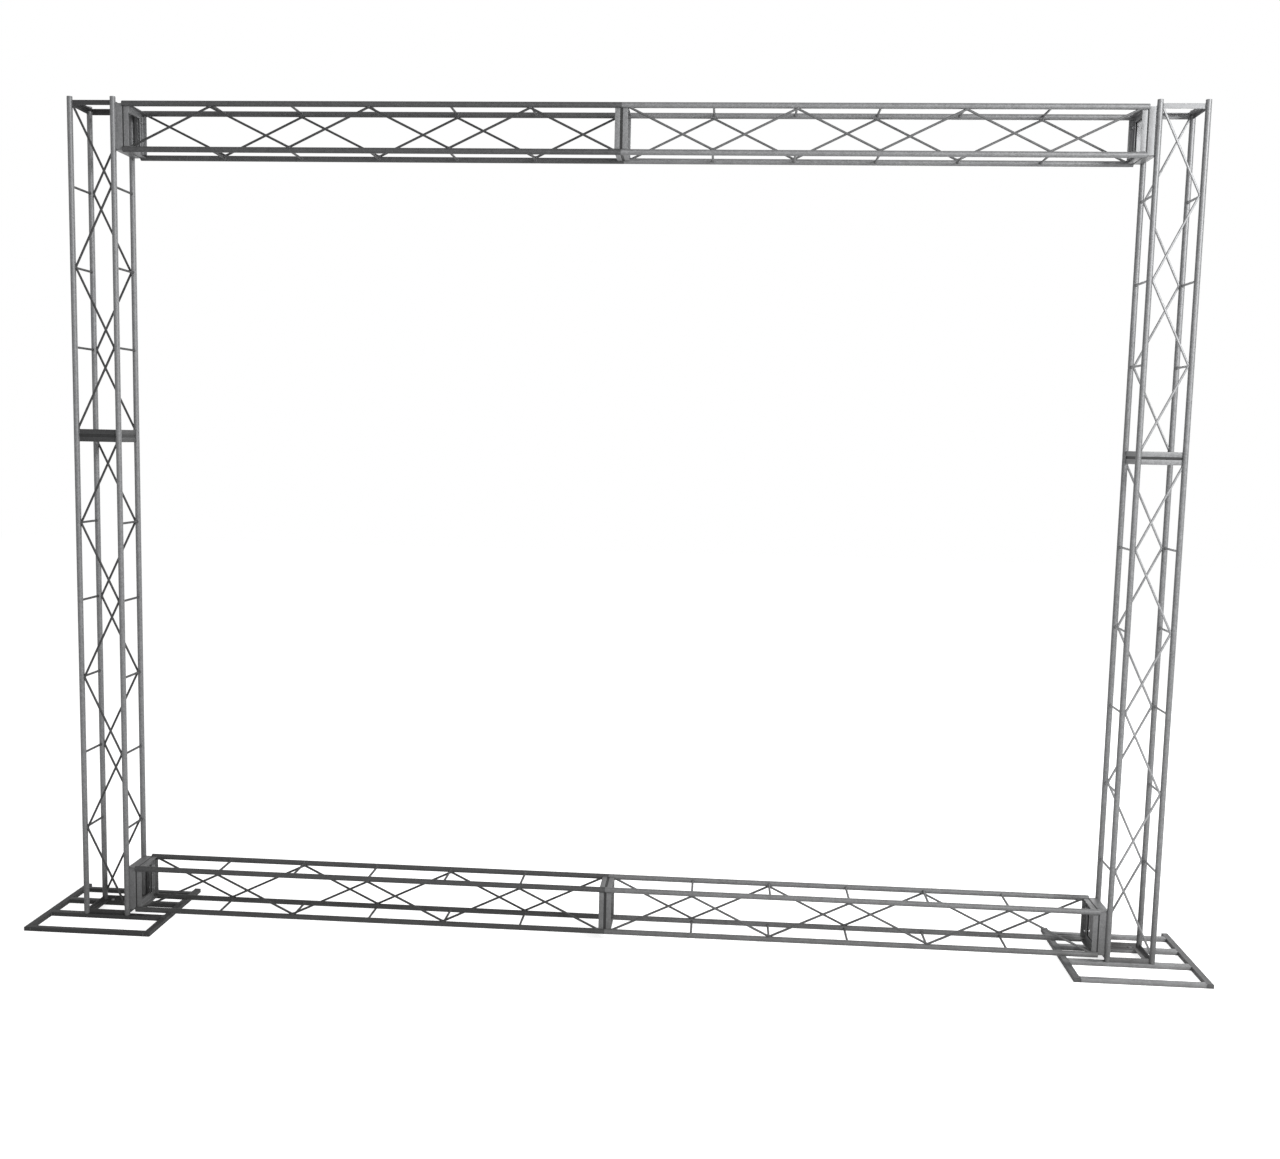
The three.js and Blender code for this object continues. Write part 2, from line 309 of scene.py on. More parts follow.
def grime_group():
    """Mask 0 to 1 that falls with height above the floor and breaks up in slow clouds. Reach is in metres."""
    group, inlet, outlet, place = new_group("floor_grime", {"Reach": 0.5, "Amount": 1.0}, "Mask")
    height = node(group, "ShaderNodeSeparateXYZ", Vector=place).outputs["Z"]
    rise = math_node(group, "DIVIDE", height, inlet["Reach"])
    low = math_node(group, "POWER", math_node(group, "SUBTRACT", 1.0, rise, clamp=True), 1.6)
    cloud = node(group, "ShaderNodeTexNoise", Vector=place, Scale=9.0, Detail=5.0, Roughness=0.65).outputs[0]
    uneven = math_node(group, "MULTIPLY_ADD", cloud, 1.1, 0.2)
    amount = math_node(group, "MULTIPLY", uneven, inlet["Amount"])
    group.links.new(math_node(group, "MULTIPLY", low, amount, clamp=True), outlet)
    return group


MOTTLE, SCUFFS, GRIME = mottle_group(), scuff_group(), grime_group()
print("groups:", [group.name for group in (MOTTLE, SCUFFS, GRIME)])


# %% [markdown]
# ### One recipe for all finishes
#
# Tube, rod, floor frame, joint bar, weld and bolt differ in tone, gloss and how much each effect shows, not
# in how they are made. So one function lays the nodes and each finish gives its own values. Darker copies
# of a finish for the left side are painted shade, and a lighter copy for the right is painted light, for
# the light's fall from right to left. The metallic share is low, because a weathered zinc coat scatters
# more light than it mirrors: tubes read grey with dark rims, as in the photograph.


# %% Steel finishes
CAST_SHARES = (-0.01, 0.0, 0.02)  # what a cast of 1 adds to red, green and blue


def grey(tone, cast):
    """A grey of one tone. A cast above 0 is the blue of zinc, and one below 0 the brown of dust."""
    return (*[tone * (1 + share * cast) for share in CAST_SHARES], 1.0)


def steel_finish(name, light, dark, scuff, dirt, metallic, roughness, size, grime_reach, grime, bump):
    """Principled steel: dark to light by mottle, then scuffs, then grime, with a bump of the first two."""
    material = bpy.data.materials.new(name)
    material.use_nodes = True
    tree = material.node_tree
    shader = tree.nodes["Principled BSDF"]
    mottle = node(tree, "ShaderNodeGroup", {"node_tree": MOTTLE}, Size=size).outputs[0]
    scuffs = node(tree, "ShaderNodeGroup", {"node_tree": SCUFFS}, Density=70.0, Amount=0.5).outputs[0]
    grimed = node(tree, "ShaderNodeGroup", {"node_tree": GRIME}, Reach=grime_reach, Amount=grime).outputs[0]
    coat = mixed(tree, mottle, grey(dark, 1), grey(light, 1))
    rubbed = mixed(tree, math_node(tree, "MULTIPLY", scuffs, 0.6), coat, grey(scuff, -1))
    tree.links.new(mixed(tree, grimed, rubbed, grey(dirt, -2)), shader.inputs["Base Color"])
    uneven = math_node(tree, "MULTIPLY_ADD", mottle, 0.22, roughness - 0.11)
    shiny = math_node(tree, "SUBTRACT", uneven, math_node(tree, "MULTIPLY", scuffs, 0.12))
    rough = math_node(tree, "MULTIPLY_ADD", grimed, 0.3, shiny, clamp=True)
    tree.links.new(rough, shader.inputs["Roughness"])
    bare = math_node(tree, "SUBTRACT", metallic, math_node(tree, "MULTIPLY", grimed, metallic))
    tree.links.new(bare, shader.inputs["Metallic"])
    height = math_node(tree, "SUBTRACT", mottle, math_node(tree, "MULTIPLY", scuffs, 0.5))
    relief = node(tree, "ShaderNodeBump", Strength=bump, Distance=0.0006, Height=height)
    tree.links.new(relief.outputs[0], shader.inputs["Normal"])
    shader.inputs["Specular IOR Level"].default_value = 0.3
    return material


# Tones of the light and dark patches, scuffs and dirt, then metallic, roughness, the patches' width, the
# height that grime reaches, its amount and the bump
FINISH = {name: steel_finish(name, *values) for name, values in {
    "truss_zinc": (0.238, 0.111, 0.42, 0.058, 0.35, 0.48, 0.009, 0.9, 0.75, 0.35),
    # Darker copy of truss_zinc for the left beams' tubes: painted shade.
    "shaded_truss_zinc": (0.096, 0.040, 0.30, 0.029, 0.35, 0.50, 0.009, 0.9, 0.75, 0.40),
    "rod_zinc": (0.142, 0.061, 0.34, 0.038, 0.30, 0.50, 0.007, 0.9, 0.70, 0.35),
    # Lighter copy of the rod finish for the right tower's rods: painted light.
    "lit_rod_zinc": (0.333, 0.182, 0.45, 0.058, 0.35, 0.48, 0.007, 0.9, 0.70, 0.30),
    # Darker copy of the rod finish for the left tower's rings and rods and the left beams' rods: painted
    # shade.
    "shaded_rod_zinc": (0.061, 0.024, 0.26, 0.024, 0.30, 0.52, 0.007, 0.9, 0.70, 0.40),
    "floor_zinc": (0.130, 0.060, 0.32, 0.033, 0.30, 0.55, 0.012, 0.06, 0.80, 0.40),
    # Darker copy of floor_zinc for the left floor frame: painted shade.
    "shaded_floor_zinc": (0.060, 0.025, 0.22, 0.019, 0.30, 0.58, 0.012, 0.06, 0.80, 0.45),
    # Lighter copy of floor_zinc for the right floor frame's crossbars: painted light.
    "lit_floor_zinc": (0.320, 0.160, 0.45, 0.067, 0.30, 0.55, 0.012, 0.06, 0.80, 0.40),
    # Near-black for the bars in the joints' gaps: painted shade of the seams.
    "painted_seam_shade": (0.035, 0.014, 0.15, 0.024, 0.20, 0.60, 0.006, 0.9, 0.60, 0.40),
    "weld_bead": (0.170, 0.059, 0.34, 0.043, 0.40, 0.42, 0.005, 0.9, 0.70, 0.50),
    "bolt_zinc": (0.420, 0.200, 0.60, 0.066, 0.60, 0.36, 0.004, 0.3, 0.60, 0.25),
}.items()}
print("finishes:", ", ".join(FINISH))

# %% [markdown]
# ## Chord tubes
#
# A chord is plain round tube with a saw-cut end. Its section along the axis is a thin rectangle with
# small chamfers, turned round the axis: outside, end, bore and other end in one closed surface.

# %% Tube
TUBE_STEPS = 32
SAW_CHAMFER = 0.0004


def tube(x, y, low, high):
    """A ring profile turned round a line parallel to z: radius and height are the profile, angle the turn."""
    outer, inner, c = TUBE / 2, TUBE / 2 - TUBE_WALL, SAW_CHAMFER
    profile = np.array([(outer, low + c), (outer, (low + high) / 2), (outer, high - c), (outer - c, high),
                        (inner + c, high), (inner, high - c), (inner, low + c), (inner + c, low),
                        (outer - c, low)])
    angle = circle(TUBE_STEPS)
    radius, height = profile[:, 0, None], profile[:, 1, None]
    height = np.broadcast_to(height, (len(profile), TUBE_STEPS))
    return loop(np.stack([x + radius * np.cos(angle), y + radius * np.sin(angle), height], -1))


# %% [markdown]
# ## Rungs and the lacing's ends
#
# A rung runs between two chord axes and ends on the tubes' walls. Where it ends isn't a flat cut: each
# line along the rod stops where it meets the tube's round wall. With the rod's point p = A + s d + r (cos
# t e1 + sin t e2), the distance of p from the tube's axis is a quadratic in s, so the end curve of all
# the rods comes from one formula.

# %% Rods and the beads round their ends
ROD_STEPS = 16
BEAD_STEPS, BEAD_ROUND = 36, 8
BEAD = 0.0032
BEAD_RIPPLES, RIPPLE_SHARE = 9, 0.14  # the torch's ripples round a foot, and their height in the bead
NEARLY_UPRIGHT = 0.9


def unit(vectors):
    """The vectors scaled to a length of 1."""
    return vectors / np.linalg.norm(vectors, axis=-1, keepdims=True)


def rod_frames(starts, ends):
    """Unit directions along the rods and two unit directions across them, each (rods, 3)."""
    along = unit(ends - starts)
    aside = np.where(np.abs(along[:, 2:]) > NEARLY_UPRIGHT, [[1.0, 0, 0]], [[0, 0, 1.0]])
    level = unit(np.cross(along, aside))
    return along, level, np.cross(along, level)


def on_tube(starts, along, offset, radius):
    """Where lines leave a tube parallel to z, from near its axis: the larger root s of |s d + q| = radius."""
    d, q = along[:, None, :2], offset[..., :2]
    a, b, c = (d * d).sum(-1), 2 * (d * q).sum(-1), (q * q).sum(-1) - radius ** 2
    s = (-b + np.sqrt(b * b - 4 * a * c)) / (2 * a)
    return starts[:, None] + s[..., None] * along[:, None] + offset


def around(first, second, steps):
    """Circles of radius 1, each in the plane of two directions: (..., 3) becomes (..., steps, 3)."""
    turn = circle(steps)[:, None]
    return np.cos(turn) * first[..., None, :] + np.sin(turn) * second[..., None, :]


def rods(starts, ends):
    """Round rods between chord axes, their ends on the middle of the tubes' walls."""
    along, level, upright = rod_frames(starts, ends)
    offset = ROD / 2 * around(level, upright, ROD_STEPS)
    first = on_tube(starts, along, offset, WALL_MIDDLE)
    last = on_tube(ends, -along, offset, WALL_MIDDLE)
    middle = (first + last) / 2
    return [loft(np.stack([a, b, c])) for a, b, c in zip(first, middle, last)]


def rippled(curve, first, second):
    """A bead along a closed curve: circles in the planes of two normals, with a radius that ripples."""
    size = BEAD * (1 + RIPPLE_SHARE * np.sin(BEAD_RIPPLES * circle(BEAD_STEPS)))
    return curve[..., None, :] + size[:, None, None] * around(first, second, BEAD_ROUND)


def rod_beads(starts, ends):
    """A weld bead round each rod's foot, along the curve where rod and tube meet."""
    along, level, upright = rod_frames(starts, ends)
    offset = ROD / 2 * around(level, upright, BEAD_STEPS)
    curve = on_tube(starts, along, offset, TUBE / 2)
    tube_normal = unit((curve - starts[:, None]) * (1, 1, 0))
    rod_normal = unit(offset - (offset * tube_normal).sum(-1, keepdims=True) * tube_normal)
    return [loop(rings) for rings in rippled(curve, tube_normal, rod_normal)]


# %% [markdown]
# ### Lacing bent from one rod
#
# The zig-zag of one face is a single rod. It is bent where it touches a tube, so each corner of its line
# becomes an arc: with a turn of angle w and a radius R the arc starts R tan(w/2) before the corner, and
# its centre lies R / cos(w/2) from the corner. The rod's direction turns evenly along the arc.

# %% Bent lacing and its beads
BEND_RADIUS, BEND_STEPS = 0.022, 7
PATCH_LENGTH, PATCH_WIDTH = 0.0105, 0.0062
BACKWARDS = np.array([0, 1.0, 0])  # across the plane of the zig-zag


def bent_path(line):
    """Places and directions along a flat zig-zag line, its corners rounded: arcs between the two ends."""
    along = unit(np.diff(line, axis=0))
    before, after = along[:-1, None], along[1:, None]
    turn = np.arccos((before * after).sum(-1, keepdims=True))
    t = np.linspace(0, 1, BEND_STEPS)[None, :, None]
    heading = (np.sin((1 - t) * turn) * before + np.sin(t * turn) * after) / np.sin(turn)
    inward = unit(after - before)
    centre = line[1:-1, None] + inward * BEND_RADIUS / np.cos(turn / 2)
    outward = np.cross(heading, BACKWARDS)
    outward *= -np.sign((outward * inward).sum(-1, keepdims=True))
    places = (centre + BEND_RADIUS * outward).reshape(-1, 3)
    return (np.concatenate([line[:1], places, line[-1:]]),
            np.concatenate([along[:1], heading.reshape(-1, 3), along[-1:]]))


def lacing_rod(line):
    """A circle carried along the rounded zig-zag. Its two ends stop on the middle of the tubes' walls."""
    places, headings = bent_path(line)
    offset = ROD / 2 * around(np.cross(headings, BACKWARDS), BACKWARDS, ROD_STEPS)
    rings = places[:, None] + offset
    rings[0] = on_tube(places[:1], headings[:1], offset[:1], WALL_MIDDLE)[0]
    rings[-1] = on_tube(places[-1:], -headings[-1:], offset[-1:], WALL_MIDDLE)[0]
    return loft(rings)


def bend_beads(line):
    """A bead round each patch where a bend meets its tube: an ellipse laid on the tube's round side."""
    angle = circle(BEAD_STEPS)
    along, across = PATCH_LENGTH * np.cos(angle), PATCH_WIDTH * np.sin(angle)
    lean = across / (TUBE / 2)
    normal = np.stack([-np.sqrt(1 - lean ** 2), lean, np.zeros(BEAD_STEPS)], -1)
    outer = np.stack([np.zeros(BEAD_STEPS), np.sin(angle), np.cos(angle)], -1)
    base = np.stack([normal[:, 0] * TUBE / 2, across, along], -1)
    points, faces = loop(rippled(base, normal, outer))
    beads = []
    for x, y, z in line[1:-1]:
        side = math.copysign(1.0, x)
        outward_faces = faces if side > 0 else [face[::-1] for face in faces]
        beads.append((points * (side, 1, 1) + (side * CHORD, y, z), outward_faces))
    return beads


# %% [markdown]
# ## Straight beads
#
# Where the flat leg of an angle bar meets a tube the bead is straight. It is a round stick whose ends
# shrink to a point, with the ripples that the torch leaves at each stop.

# %% Straight bead
STICK_STEPS, STICK_ROUND, STICK_RIPPLES = 22, 8, 7
STICK_POWER, STICK_TIP = 10, 0.002
BEAD_INSET = 0.002  # from a leg's edge to the bead's end


def stick_bead(start, end, size=BEAD):
    """A circle of radius size * sqrt(1 - (2t - 1)^STICK_POWER) with a ripple, carried from start to end."""
    start, end = np.array(start), np.array(end)
    t = np.linspace(0, 1, STICK_STEPS)
    radius = size * np.sqrt(np.clip(1 - np.abs(2 * t - 1) ** STICK_POWER, STICK_TIP, 1))
    radius *= (1 + RIPPLE_SHARE * np.sin(2 * math.pi * STICK_RIPPLES * t))
    _, level, upright = rod_frames(start[None], end[None])
    centre = start + t[:, None] * (end - start)
    return loft(centre[:, None] + radius[:, None, None] * around(level, upright, STICK_ROUND))


# %% [markdown]
# ## Angle bar
#
# Rolled angle has a sharp heel, rounded toes and a fillet in its root. One outline holds all of them, and
# the flange's two faces get extra stations round each bolt, so that the hole can be drawn by moving grid
# points onto a circle. The bar's end is worked out from the outline too: it stops on the mitre, or on the
# tube's wall where that comes first.

# %% Angle bar's outline
TOE_RADIUS, ROOT_RADIUS, HEEL_RADIUS = 0.0018, 0.005, 0.0008
ARC_STEPS = 5
HOLE_STATIONS = np.array([-1.0, -0.5, 0.0, 0.5, 1.0])
HOLE_SQUARE = BOLT_HOLE / 2
RIM_SHARE = 0.9  # stations further out than this share of the square lie on the hole's rim


def arc(centre_x, centre_y, radius, start, end):
    """Points of an arc, angles in degrees."""
    angle = np.radians(np.linspace(start, end, ARC_STEPS))
    return np.stack([centre_x + radius * np.cos(angle), centre_y + radius * np.sin(angle)], -1)


def angle_outline(leg, hole_at):
    """The section in (distance from the truss's axis, distance along it). Returns it with the holes' rows."""
    t, outside = ANGLE_THICKNESS, ANGLE_OUTSIDE
    inside, toe = outside - t, outside - RING_FLANGE
    stations = hole_at + HOLE_SQUARE * HOLE_STATIONS
    parts = [
        arc(outside - HEEL_RADIUS, HEEL_RADIUS, HEEL_RADIUS, -90, 0),
        arc(outside - HEEL_RADIUS, leg - HEEL_RADIUS, HEEL_RADIUS, 0, 90),
        arc(inside + TOE_RADIUS, leg - TOE_RADIUS, TOE_RADIUS, 90, 180),
        arc(inside - ROOT_RADIUS, t + ROOT_RADIUS, ROOT_RADIUS, 0, -90),
        np.stack([stations[::-1], np.full(len(stations), t)], -1),
        arc(toe + TOE_RADIUS, t - TOE_RADIUS, TOE_RADIUS, 90, 180),
        arc(toe + HEEL_RADIUS, HEEL_RADIUS, HEEL_RADIUS, 180, 270),
        np.stack([stations, np.zeros(len(stations))], -1),
    ]
    starts = np.cumsum([0] + [len(part) for part in parts])
    return np.concatenate(parts), (starts[4], starts[7])


# %% [markdown]
# The outline is carried along u, the direction of the bar. A quarter turn then gives each side of the
# square frame.


# %% Angle bar and square frame
def cut_back(across, from_axis):
    """The mitre u = across, cut back to the wall of a chord whose axis passes at a distance."""
    return np.minimum(across, CHORD - np.sqrt(np.clip(WALL_MIDDLE ** 2 - from_axis ** 2, 0, None)))


def ring_ends(outline):
    """Half a ring bar's length at each outline point."""
    return cut_back(outline[:, 0], outline[:, 0] - CHORD)


def side_ends(outline):
    """The same for a side frame, where a tube crosses the bars' ends SIDE_FRAME_REACH behind the flange."""
    from_axis = SIDE_FRAME_REACH - outline[:, 1]
    return np.where(from_axis < WALL_MIDDLE, cut_back(outline[:, 0], from_axis), outline[:, 0])


def angle_bar(leg, ends, holes_along):
    """One side of a square frame, in its own axes (u along, across, axial)."""
    hole_at = ANGLE_OUTSIDE - BOLT_GAUGE
    outline, (upper, lower) = angle_outline(leg, hole_at)
    columns, half = len(outline), ends(outline)
    stations = [np.repeat(at + HOLE_SQUARE * HOLE_STATIONS[:, None], columns, axis=1) for at in holes_along]
    u = np.concatenate([-half[None], *stations, half[None]])
    across, axial = (np.broadcast_to(outline[:, i], u.shape).copy() for i in (0, 1))
    removed, walls = set(), []
    last = len(HOLE_STATIONS) - 1
    for number, at in enumerate(holes_along):
        row = 1 + number * len(HOLE_STATIONS)
        block = np.arange(len(HOLE_STATIONS))
        rims = []
        for first, turned_over in ((upper, True), (lower, False)):
            r, c = np.meshgrid(row + block, first + block, indexing="ij")
            du, dv = u[r, c] - at, across[r, c] - hole_at
            rim = np.maximum(np.abs(du), np.abs(dv)) > HOLE_SQUARE * RIM_SHARE
            scale = np.where(rim, HOLE_SQUARE / np.maximum(np.hypot(du, dv), 1e-9), 1.0)
            u[r, c], across[r, c] = at + du * scale, hole_at + dv * scale
            removed |= {(i, j) for i in range(row, row + last) for j in range(first, first + last)}
            edge = [(i, 0) for i in range(last)] + [(last, i) for i in range(last)]
            edge += [(last - i, last - j) for i, j in edge]
            rims.append([(row + i) * columns + first + (last - j if turned_over else j) for i, j in edge])
        count = len(rims[0])
        walls += [[rims[0][i - 1], rims[0][i], rims[1][i], rims[1][i - 1]] for i in range(count)]
    cells = zip(grid_faces(*u.shape), np.ndindex(len(u) - 1, columns))
    kept = [face for face, at in cells if at not in removed]
    return np.stack([u, across, axial], -1).reshape(-1, 3), kept + walls + caps(*u.shape)


def loose_middles(part):
    """Drops the points that no face uses, which the holes leave in their middles."""
    points, faces = part
    used = sorted({index for face in faces for index in face})
    index_of = {old: new for new, old in enumerate(used)}
    return points[used], [[index_of[index] for index in face] for face in faces]


def square_frame(centre, axis, bolted_leg, plain_leg, ends):
    """Four angle bars round an axis. The two across y carry the bolts. The flange faces against the axis."""
    bolts = (-(CHORD - BOLT_FROM_CHORD), CHORD - BOLT_FROM_CHORD)
    holed = loose_middles(angle_bar(bolted_leg, ends, bolts))
    plain = angle_bar(plain_leg, ends, ())
    return [placed(bar, place) for bar, place in zip((holed, plain, holed, plain), quarters(centre, axis))]


def ring_beads(centre_z, direction):
    """Straight beads down both faces of each leg where it meets a chord."""
    start, end = (centre_z + direction * z for z in (BEAD_INSET, RING_LEG - BEAD_INSET))
    places = [(CHORD - LEG_ON_TUBE, CHORD + side * ANGLE_THICKNESS / 2) for side in (-1, 1)]
    places += [(y, x) for x, y in places]
    corners = [(sx * x, sy * y) for x, y in places for sx in (-1, 1) for sy in (-1, 1)]
    return [stick_bead((*corner, start), (*corner, end)) for corner in corners]


# %% [markdown]
# ## A welded section
#
# Towers and beams are the same truss in three lengths. A section is made standing up, with its foot at
# zero and its front to -Y, and is then put in place. The zig-zag starts at one side on the front face and
# at the other on the back face, so that the two cross when seen from the front.


# %% Section
def lacing_line(heights, face, first_side):
    """The zig-zag line of one face: it turns on the tubes' near sides, and its ends reach the tubes' axes."""
    count = np.arange(len(heights))
    side = first_side * -face * (-1.0) ** count
    line = np.stack([side * NEAR_SIDE, np.full(len(heights), face * CHORD), heights], -1)
    run_on = (CHORD - NEAR_SIDE) / (2 * NEAR_SIDE)
    first, last = line[0] - run_on * (line[1] - line[0]), line[-1] + run_on * (line[-1] - line[-2])
    return np.concatenate([first[None], line[1:-1], last[None]])


def section(length, panels, first_side, foot, head):
    """The tubes, rings, rods and beads of one section. foot and head give its ends: setback and inset."""
    low, high = HALF_GAP, length - HALF_GAP
    heights = np.linspace(foot["inset"], length - head["inset"], panels + 1)
    tubes = [tube(x, y, low, high) for x in (-CHORD, CHORD) for y in (-CHORD, CHORD)]
    x, z = (grid.ravel() for grid in np.meshgrid([-CHORD, CHORD], heights[1:-1]))
    front, back = (np.stack([x, np.full(len(x), y), z], -1) for y in (-CHORD, CHORD))
    lines = [lacing_line(heights, face, first_side) for face in (-1, 1)]
    lacing = rods(front, back) + [lacing_rod(line) for line in lines]
    beads = rod_beads(front, back) + rod_beads(back, front)
    for line in lines:
        beads += bend_beads(line) + rod_beads(line[:1], line[1:2]) + rod_beads(line[-1:], line[-2:-1])
    rings = []
    for height, direction in ((low + foot["setback"], 1), (high - head["setback"], -1)):
        rings += square_frame((0, 0, height), (0, 0, direction), RING_LEG, RING_LEG, ring_ends)
        beads += ring_beads(height, direction)
    return tubes, rings, lacing, beads


BUTTED = {"setback": RING_SETBACK, "inset": BUTTED_INSET}
STANDING = {"setback": 0.0, "inset": FOOT_INSET}
TOPMOST = {"setback": TOP_TAIL, "inset": TOP_INSET}

# %% [markdown]
# ## Side frames and the eight sections
#
# On each tower two deeper frames of angle bar stand out to the beams. The two upright bars' legs run back
# to the sides of the tower's nearer chords. The two level bars reach between the chords, up to their
# axes.


# %% Side frame
def side_frame(tower_x, inward, beam_node):
    """The frame at a beam's end and its beads, in place. inward is the direction to the beam along x."""
    low_x, high_x = extent(beam_node, 0)
    middle_z = centre_of(beam_node, 2)
    face = (low_x if inward > 0 else high_x) - inward * FIT_GAP
    level_leg = SIDE_FRAME_REACH - FIT_GAP
    upright_leg = level_leg - WALL_MIDDLE
    steel = square_frame((face, 0, middle_z), (-inward, 0, 0), upright_leg, level_leg, side_ends)
    chord_x = tower_x + inward * CHORD
    beads = []
    for y_side in (-1, 1):
        for edge in (-1, 1):
            y = y_side * (CHORD + edge * ANGLE_THICKNESS / 2)
            x = chord_x + inward * LEG_ON_TUBE
            beads.append(stick_bead((x, y, middle_z - ANGLE_OUTSIDE), (x, y, middle_z + ANGLE_OUTSIDE)))
        for z_side in (-1, 1):
            for edge in (-1, 1):
                z = middle_z + z_side * (CHORD + edge * ANGLE_THICKNESS / 2)
                beads.append(stick_bead((chord_x + inward * TUBE / 2, y_side * (NEAR_SIDE + BEAD_INSET), z),
                                        (chord_x + inward * BEAD_INSET, y_side * NEAR_SIDE, z)))
    return steel, beads


# %% [markdown]
# The light falls away to the left more than the lamps make it, so the left side gets painted shade: both
# left beam sections are darker all over, and so are the left tower's rings and rods. The right tower's rods
# get painted light and are the brightest. So each side has its own finishes for tubes, rings and rods, and
# the side frames take the tubes'.

# %% Towers
SHADE_BY_SIDE = {
    "left_tower": ("truss_zinc", "shaded_rod_zinc", "shaded_rod_zinc"),
    "right_tower": ("truss_zinc", "truss_zinc", "lit_rod_zinc"),
    "left_beam": ("shaded_truss_zinc", "truss_zinc", "shaded_rod_zinc"),
    "right_beam": ("truss_zinc", "truss_zinc", "rod_zinc"),
}


def dress(node_name, parts, finishes, matrix):
    """Makes a section's four pieces: its tubes, its rings, its rods and its welds."""
    for kind, lumps, finish in zip(("tubes", "rings", "rods", "welds"), parts, (*finishes, "weld_bead")):
        part = placed(merged(lumps), matrix)
        piece = make_piece(f"{node_name}.{kind}", part, finish, "truss_steel", node_name,
                           sharp=WELD_SHARP if kind == "welds" else SHARP)
        print(f"{piece.name}: {len(piece.data.polygons)} faces in {finish}")


for name, side in (("left", -1), ("right", 1)):
    for node_name, panels, first, foot, head, beam in (
        (f"{name}_tower_lower", LOWER_PANELS, 1, STANDING, BUTTED, f"bottom_beam_{name}"),
        (f"{name}_tower_upper", UPPER_PANELS, -1, BUTTED, TOPMOST, f"top_beam_{name}"),
    ):
        low_z, high_z = extent(node_name, 2)
        tubes, rings, lacing, beads = section(high_z - low_z + FIT_GAP, panels, first, foot, head)
        to_place = Matrix.Translation((TOWER_X[name], 0, low_z - HALF_GAP))
        frame_steel, frame_beads = side_frame(TOWER_X[name], -side, beam)
        back = to_place.inverted()
        tubes += [placed(part, back) for part in frame_steel]
        beads += [placed(part, back) for part in frame_beads]
        dress(node_name, (tubes, rings, lacing, beads), SHADE_BY_SIDE[f"{name}_tower"], to_place)

# %% [markdown]
# A beam's section is the standing one laid down: its foot to the left, its own +X side downwards.

# %% Beams
QUARTER_TURN = Matrix.Rotation(math.pi / 2, 4, "Y")
for node_name, first in (("bottom_beam_left", 1), ("bottom_beam_right", 1), ("top_beam_left", 1),
                         ("top_beam_right", -1)):
    low_x, high_x = extent(node_name, 0)
    start = Matrix.Translation((low_x - HALF_GAP, 0, centre_of(node_name, 2)))
    parts = section(high_x - low_x + FIT_GAP, BEAM_PANELS, first, BUTTED, BUTTED)
    # The left beams take the darker copies of the finishes: painted shade.
    side_shade = SHADE_BY_SIDE["left_beam" if node_name.endswith("left") else "right_beam"]
    dress(node_name, parts, side_shade, start @ QUARTER_TURN)

# %% [markdown]
# ## Dark bars in the joints
#
# The rings stand back from the butted tubes, so between two rings, or a ring and a side frame, there is a
# gap, and the seam there is dark. A flat near-black bar fills it on each side of the truss, from tube to
# tube: painted shade of that dark seam.


# %% Dark bars of painted shade in the joints
SHADE_BAR_DEPTH, SHADE_BAR_SHY, SHADE_BAR_CUT = 0.010, 0.002, 0.0005


def shade_bar(half_length, half_gap):
    """A bar along x with its four long edges taken off: an octagon of (across, axial) carried along."""
    near, far, c = ANGLE_OUTSIDE - SHADE_BAR_SHY - SHADE_BAR_DEPTH, ANGLE_OUTSIDE - SHADE_BAR_SHY, SHADE_BAR_CUT
    outline = np.array([(near + c, -half_gap), (far - c, -half_gap), (far, c - half_gap),
                        (far, half_gap - c), (far - c, half_gap), (near + c, half_gap),
                        (near, half_gap - c), (near, c - half_gap)])
    return loft(np.stack([np.insert(outline, 0, along, axis=1) for along in (half_length, 0, -half_length)]))


def shade_bars(centre, axis, gap):
    """Four bars round an axis, their ends on the chords' walls."""
    depth = CHORD - (ANGLE_OUTSIDE - SHADE_BAR_SHY - SHADE_BAR_DEPTH / 2)
    bar = shade_bar(CHORD - math.sqrt((TUBE / 2) ** 2 - depth ** 2), gap / 2)
    return merged([placed(bar, place) for place in quarters(centre, axis)])


UP, ALONG = (0, 0, 1), (1, 0, 0)
RING_GAP, CORNER_GAP = 2 * RING_SETBACK + FIT_GAP, RING_SETBACK + FIT_GAP
RING_MIDDLE = CORNER_GAP / 2 - FIT_GAP  # from a beam's end to the middle of a corner's gap
shade_filled = {}
for name, x in TOWER_X.items():
    shade_filled[f"{name}_tower"] = shade_bars((x, 0, extent(f"{name}_tower_upper", 2)[0] - HALF_GAP), UP, RING_GAP)
for name in ("bottom", "top"):
    height = centre_of(f"{name}_beam_right", 2)
    left_end, joint = extent(f"{name}_beam_left", 0)
    right_end = extent(f"{name}_beam_right", 0)[1]
    shade_filled[f"{name}_beam"] = shade_bars((joint + HALF_GAP, 0, height), ALONG, RING_GAP)
    shade_filled[f"{name}_left_corner"] = shade_bars((left_end + RING_MIDDLE, 0, height), ALONG, CORNER_GAP)
    shade_filled[f"{name}_right_corner"] = shade_bars((right_end - RING_MIDDLE, 0, height), ALONG, CORNER_GAP)
for name, bars in shade_filled.items():
    # Near-black bars in the joints' gaps: painted shade of the seams.
    make_piece(f"{name}.packing", bars, "painted_seam_shade", "truss_steel")
print("packed joints:", ", ".join(shade_filled))

# %% [markdown]
# ## Floor frames
#
# The frames are rolled channel, open side down. The outline is a C with rounded shoulders, carried along
# each bar. The bars across butt against the long ones and are welded round their tops. A plate closes
# each end of a long bar.

# %% Channel bar
CHANNEL_WALL, SHOULDER = 0.003, 0.0035
PLATE_CUT = 0.0006


